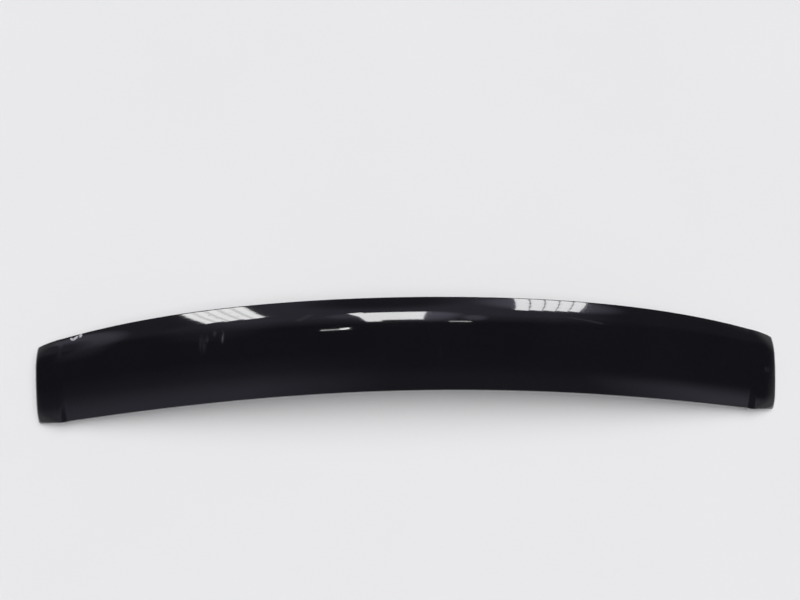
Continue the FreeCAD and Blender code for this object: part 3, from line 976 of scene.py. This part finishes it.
class SPOILER_OT_build_stage(bpy.types.Operator):
    """Build the floor, the room, the lamps and the camera"""

    bl_idname = "spoiler.build_stage"
    bl_label = "Build Stage"

    def execute(self, context):
        *_, stage = settings(context)
        self.floor(stage)
        self.room()
        self.lamps(stage)
        self.camera(context)
        return {"FINISHED"}

    def floor(self, stage):
        """A flat, matt, pale floor that reaches to the horizon."""
        reach = np.linspace(-FLOOR_REACH, FLOOR_REACH, FLOOR_STEPS)
        x, y = np.meshgrid(reach, reach, indexing="ij")
        shell = Shell()
        shell.add(np.stack([x, y, np.zeros_like(x)], axis=-1), grid_quads(FLOOR_STEPS, FLOOR_STEPS))
        material, graph, inputs = new_material("pale_floor")
        pale = stage.floor
        cloud = graph.spread(graph.noise(3.0, detail=2.0), 0.3, 0.7)
        graph.join(graph.blend(cloud, lighter(pale, factor=0.985), pale), inputs["Base Color"])
        inputs["Roughness"].default_value = 0.6
        inputs["Specular IOR Level"].default_value = 0.0
        item = shell.piece("floor", [material])

    def room(self):
        """Light from the room by direction: dark overhead, with soft glows, over a pale horizon.

        Glows before and behind the part follow how far a direction points along and across.
        Round halos stand about set directions, and a broken ring stands about one on the left.
        """
        world = bpy.data.worlds.new("room")
        world.use_nodes = True
        bpy.context.scene.world = world
        graph = Graph(world)
        direction = graph.coordinates["Generated"]
        split = graph.node("ShaderNodeSeparateXYZ", {"Vector": direction})
        across, along, up = (split.outputs[axis] for axis in "XYZ")
        before_left = graph.math(
            "MULTIPLY",
            graph.spread(along, -0.66, -0.08, to_low=0.175, to_high=0.0),
            graph.spread(across, -0.30, 0.0, to_low=1.0, to_high=0.15),
        )
        before_right = graph.math(
            "MULTIPLY",
            graph.spread(along, -0.60, -0.25, to_low=0.225, to_high=0.0, smooth=True),
            graph.spread(across, 0.44, 0.64, to_low=0.1),
        )
        behind = graph.math(
            "MULTIPLY",
            graph.spread(along, 0.20, 0.29, to_high=0.18),
            graph.spread(across, -0.50, -0.40, to_low=0.35),
            graph.spread(across, 0.42, 0.58, to_low=1.0, to_high=0.15),
        )
        nearness = graph.toward(direction, RING_MIDDLE)
        ring = graph.math(
            "MULTIPLY",
            graph.spread(nearness, 0.940, 0.955),
            graph.spread(nearness, 0.968, 0.980, to_low=1.0, to_high=0.1),
            graph.spread(along, 0.08, 0.38, to_high=0.29),
        )
        glows = [before_left, before_right, behind, ring]
        for middle, core, rim, radiance in HALOS:
            nearness = graph.toward(direction, middle)
            low = math.cos(math.radians(rim))
            high = math.cos(math.radians(core))
            glows.append(graph.spread(nearness, low, high, to_high=radiance, smooth=True))
        overhead = graph.spread(up, 0.26, 0.40)
        horizon = graph.spread(up, 0.14, 0.42, to_low=HORIZON_RADIANCE, to_high=0.0, smooth=True)
        gain = graph.math("MULTIPLY", overhead, GLOW_GAIN)
        glow = graph.math("MULTIPLY", graph.math("ADD", *glows, BASE_GLOW), gain)
        back = graph.nodes["Background"]
        graph.join(graph.blend(overhead, HORIZON_TINT, OVERHEAD_TINT), back.inputs["Color"])
        graph.join(graph.math("ADD", horizon, glow), back.inputs["Strength"])

    def lamps(self, stage):
        """A soft sun for all that is matt, and lamps on the ceiling that only gloss mirrors.

        Slanted rows of panes hang far to the left and right, and the left one has a second row just
        above it. A panel with slanted ends hangs over the middle, with tubes and a faint streak to
        each side of it.
        """
        sun = bpy.data.lights.new("soft_sun", "SUN")
        sun.energy = stage.sun
        sun.angle = SUN_SPREAD
        item = new_object("soft_sun", sun)
        item.rotation_euler = SUN_TURN
        item.visible_glossy = False
        for name, row in PANE_ROWS.items():
            self.pane_row(name, *row)
        for name, (middle, turn, size) in MIDDLE_PANEL.items():
            area_lamp(name, (*middle, CEILING), turn, size, MIDDLE_RADIANCE)
        for name, (start, end, thick, radiance) in TUBES.items():
            run = Vector(end) - Vector(start)
            place = (Vector(start) + Vector(end)) / 2
            area_lamp(name, (*place, CEILING), math.atan2(run.y, run.x), (run.length, thick), radiance)

    def pane_row(self, name, corners, height, panes, fill, radiance):
        """Panes side by side in a slanted row that widens to its far end, each a chain of short lamps.

        A point of the row lies on the straight line between its left and right edges, by its
        share across, and those edges run straight from the near corners to the far ones.
        """
        near_left, near_right, far_left, far_right = (Vector(corner) for corner in corners)

        def point(across, along):
            return near_left.lerp(far_left, along).lerp(near_right.lerp(far_right, along), across)

        for pane in range(panes):
            middle = (pane + 0.5) / panes
            for link in range(PANE_LINKS):
                near = point(middle, link / PANE_LINKS)
                far = point(middle, (link + 1) / PANE_LINKS)
                run = far - near
                halfway = (link + 0.5) / PANE_LINKS
                across = (point(1.0, halfway) - point(0.0, halfway)) / panes
                wide = abs(across.cross(run)) / run.length
                turn = math.atan2(run.y, run.x) - math.pi / 2
                place = (*(near + far) / 2, height)
                area_lamp(f"{name}_pane_{pane}_{link}", place, turn, (wide * fill, run.length), radiance)

    def camera(self, context):
        """Camera of the photograph, which looks down on the face from just before the leading edge."""
        turn = Matrix.Identity(4)
        for axis, degrees in CAMERA_DEGREES.items():
            turn = turn @ Matrix.Rotation(math.radians(degrees), 4, axis)
        lens = bpy.data.cameras.new("photo_camera")
        lens.sensor_fit = "HORIZONTAL"
        lens.lens = FOCAL_LENGTH
        item = new_object("photo_camera", lens)
        item.matrix_world = Matrix.Translation(CAMERA_PLACE) @ turn
        context.scene.camera = item
        context.scene.view_settings.view_transform = "Standard"


OPERATORS = (
    SPOILER_OT_build_body,
    SPOILER_OT_build_studs,
    SPOILER_OT_build_seals,
    SPOILER_OT_build_tape,
    SPOILER_OT_build_foot_pads,
    SPOILER_OT_build_stage,
)
GROUPS = {
    "spoiler_form": SpoilerForm,
    "spoiler_fixings": SpoilerFixings,
    "spoiler_finish": SpoilerFinish,
    "spoiler_stage": SpoilerStage,
}


class SPOILER_PT_sidebar(bpy.types.Panel):
    """Sizes, colours and build buttons"""

    bl_idname = "SPOILER_PT_sidebar"
    bl_label = "Rear Spoiler"
    bl_space_type = "VIEW_3D"
    bl_region_type = "UI"
    bl_category = "Spoiler"

    def draw(self, context):
        layout = self.layout
        for operator in OPERATORS:
            layout.operator(operator.bl_idname)
        for name, group in GROUPS.items():
            box = layout.box()
            for key in group.__annotations__:
                box.prop(getattr(context.scene, name), key)


def register():
    for group in GROUPS.values():
        bpy.utils.register_class(group)
    for name, group in GROUPS.items():
        setattr(bpy.types.Scene, name, PointerProperty(type=group))
    for operator in OPERATORS:
        bpy.utils.register_class(operator)
    bpy.utils.register_class(SPOILER_PT_sidebar)


def unregister():
    bpy.utils.unregister_class(SPOILER_PT_sidebar)
    for operator in reversed(OPERATORS):
        bpy.utils.unregister_class(operator)
    for name in GROUPS:
        delattr(bpy.types.Scene, name)
    for group in reversed(GROUPS.values()):
        bpy.utils.unregister_class(group)


def main():
    register()
    bpy.ops.spoiler.build_body()
    bpy.ops.spoiler.build_studs()
    bpy.ops.spoiler.build_seals()
    bpy.ops.spoiler.build_tape()
    bpy.ops.spoiler.build_foot_pads()
    bpy.ops.spoiler.build_stage()
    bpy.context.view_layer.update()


if __name__ == "__main__":
    main()
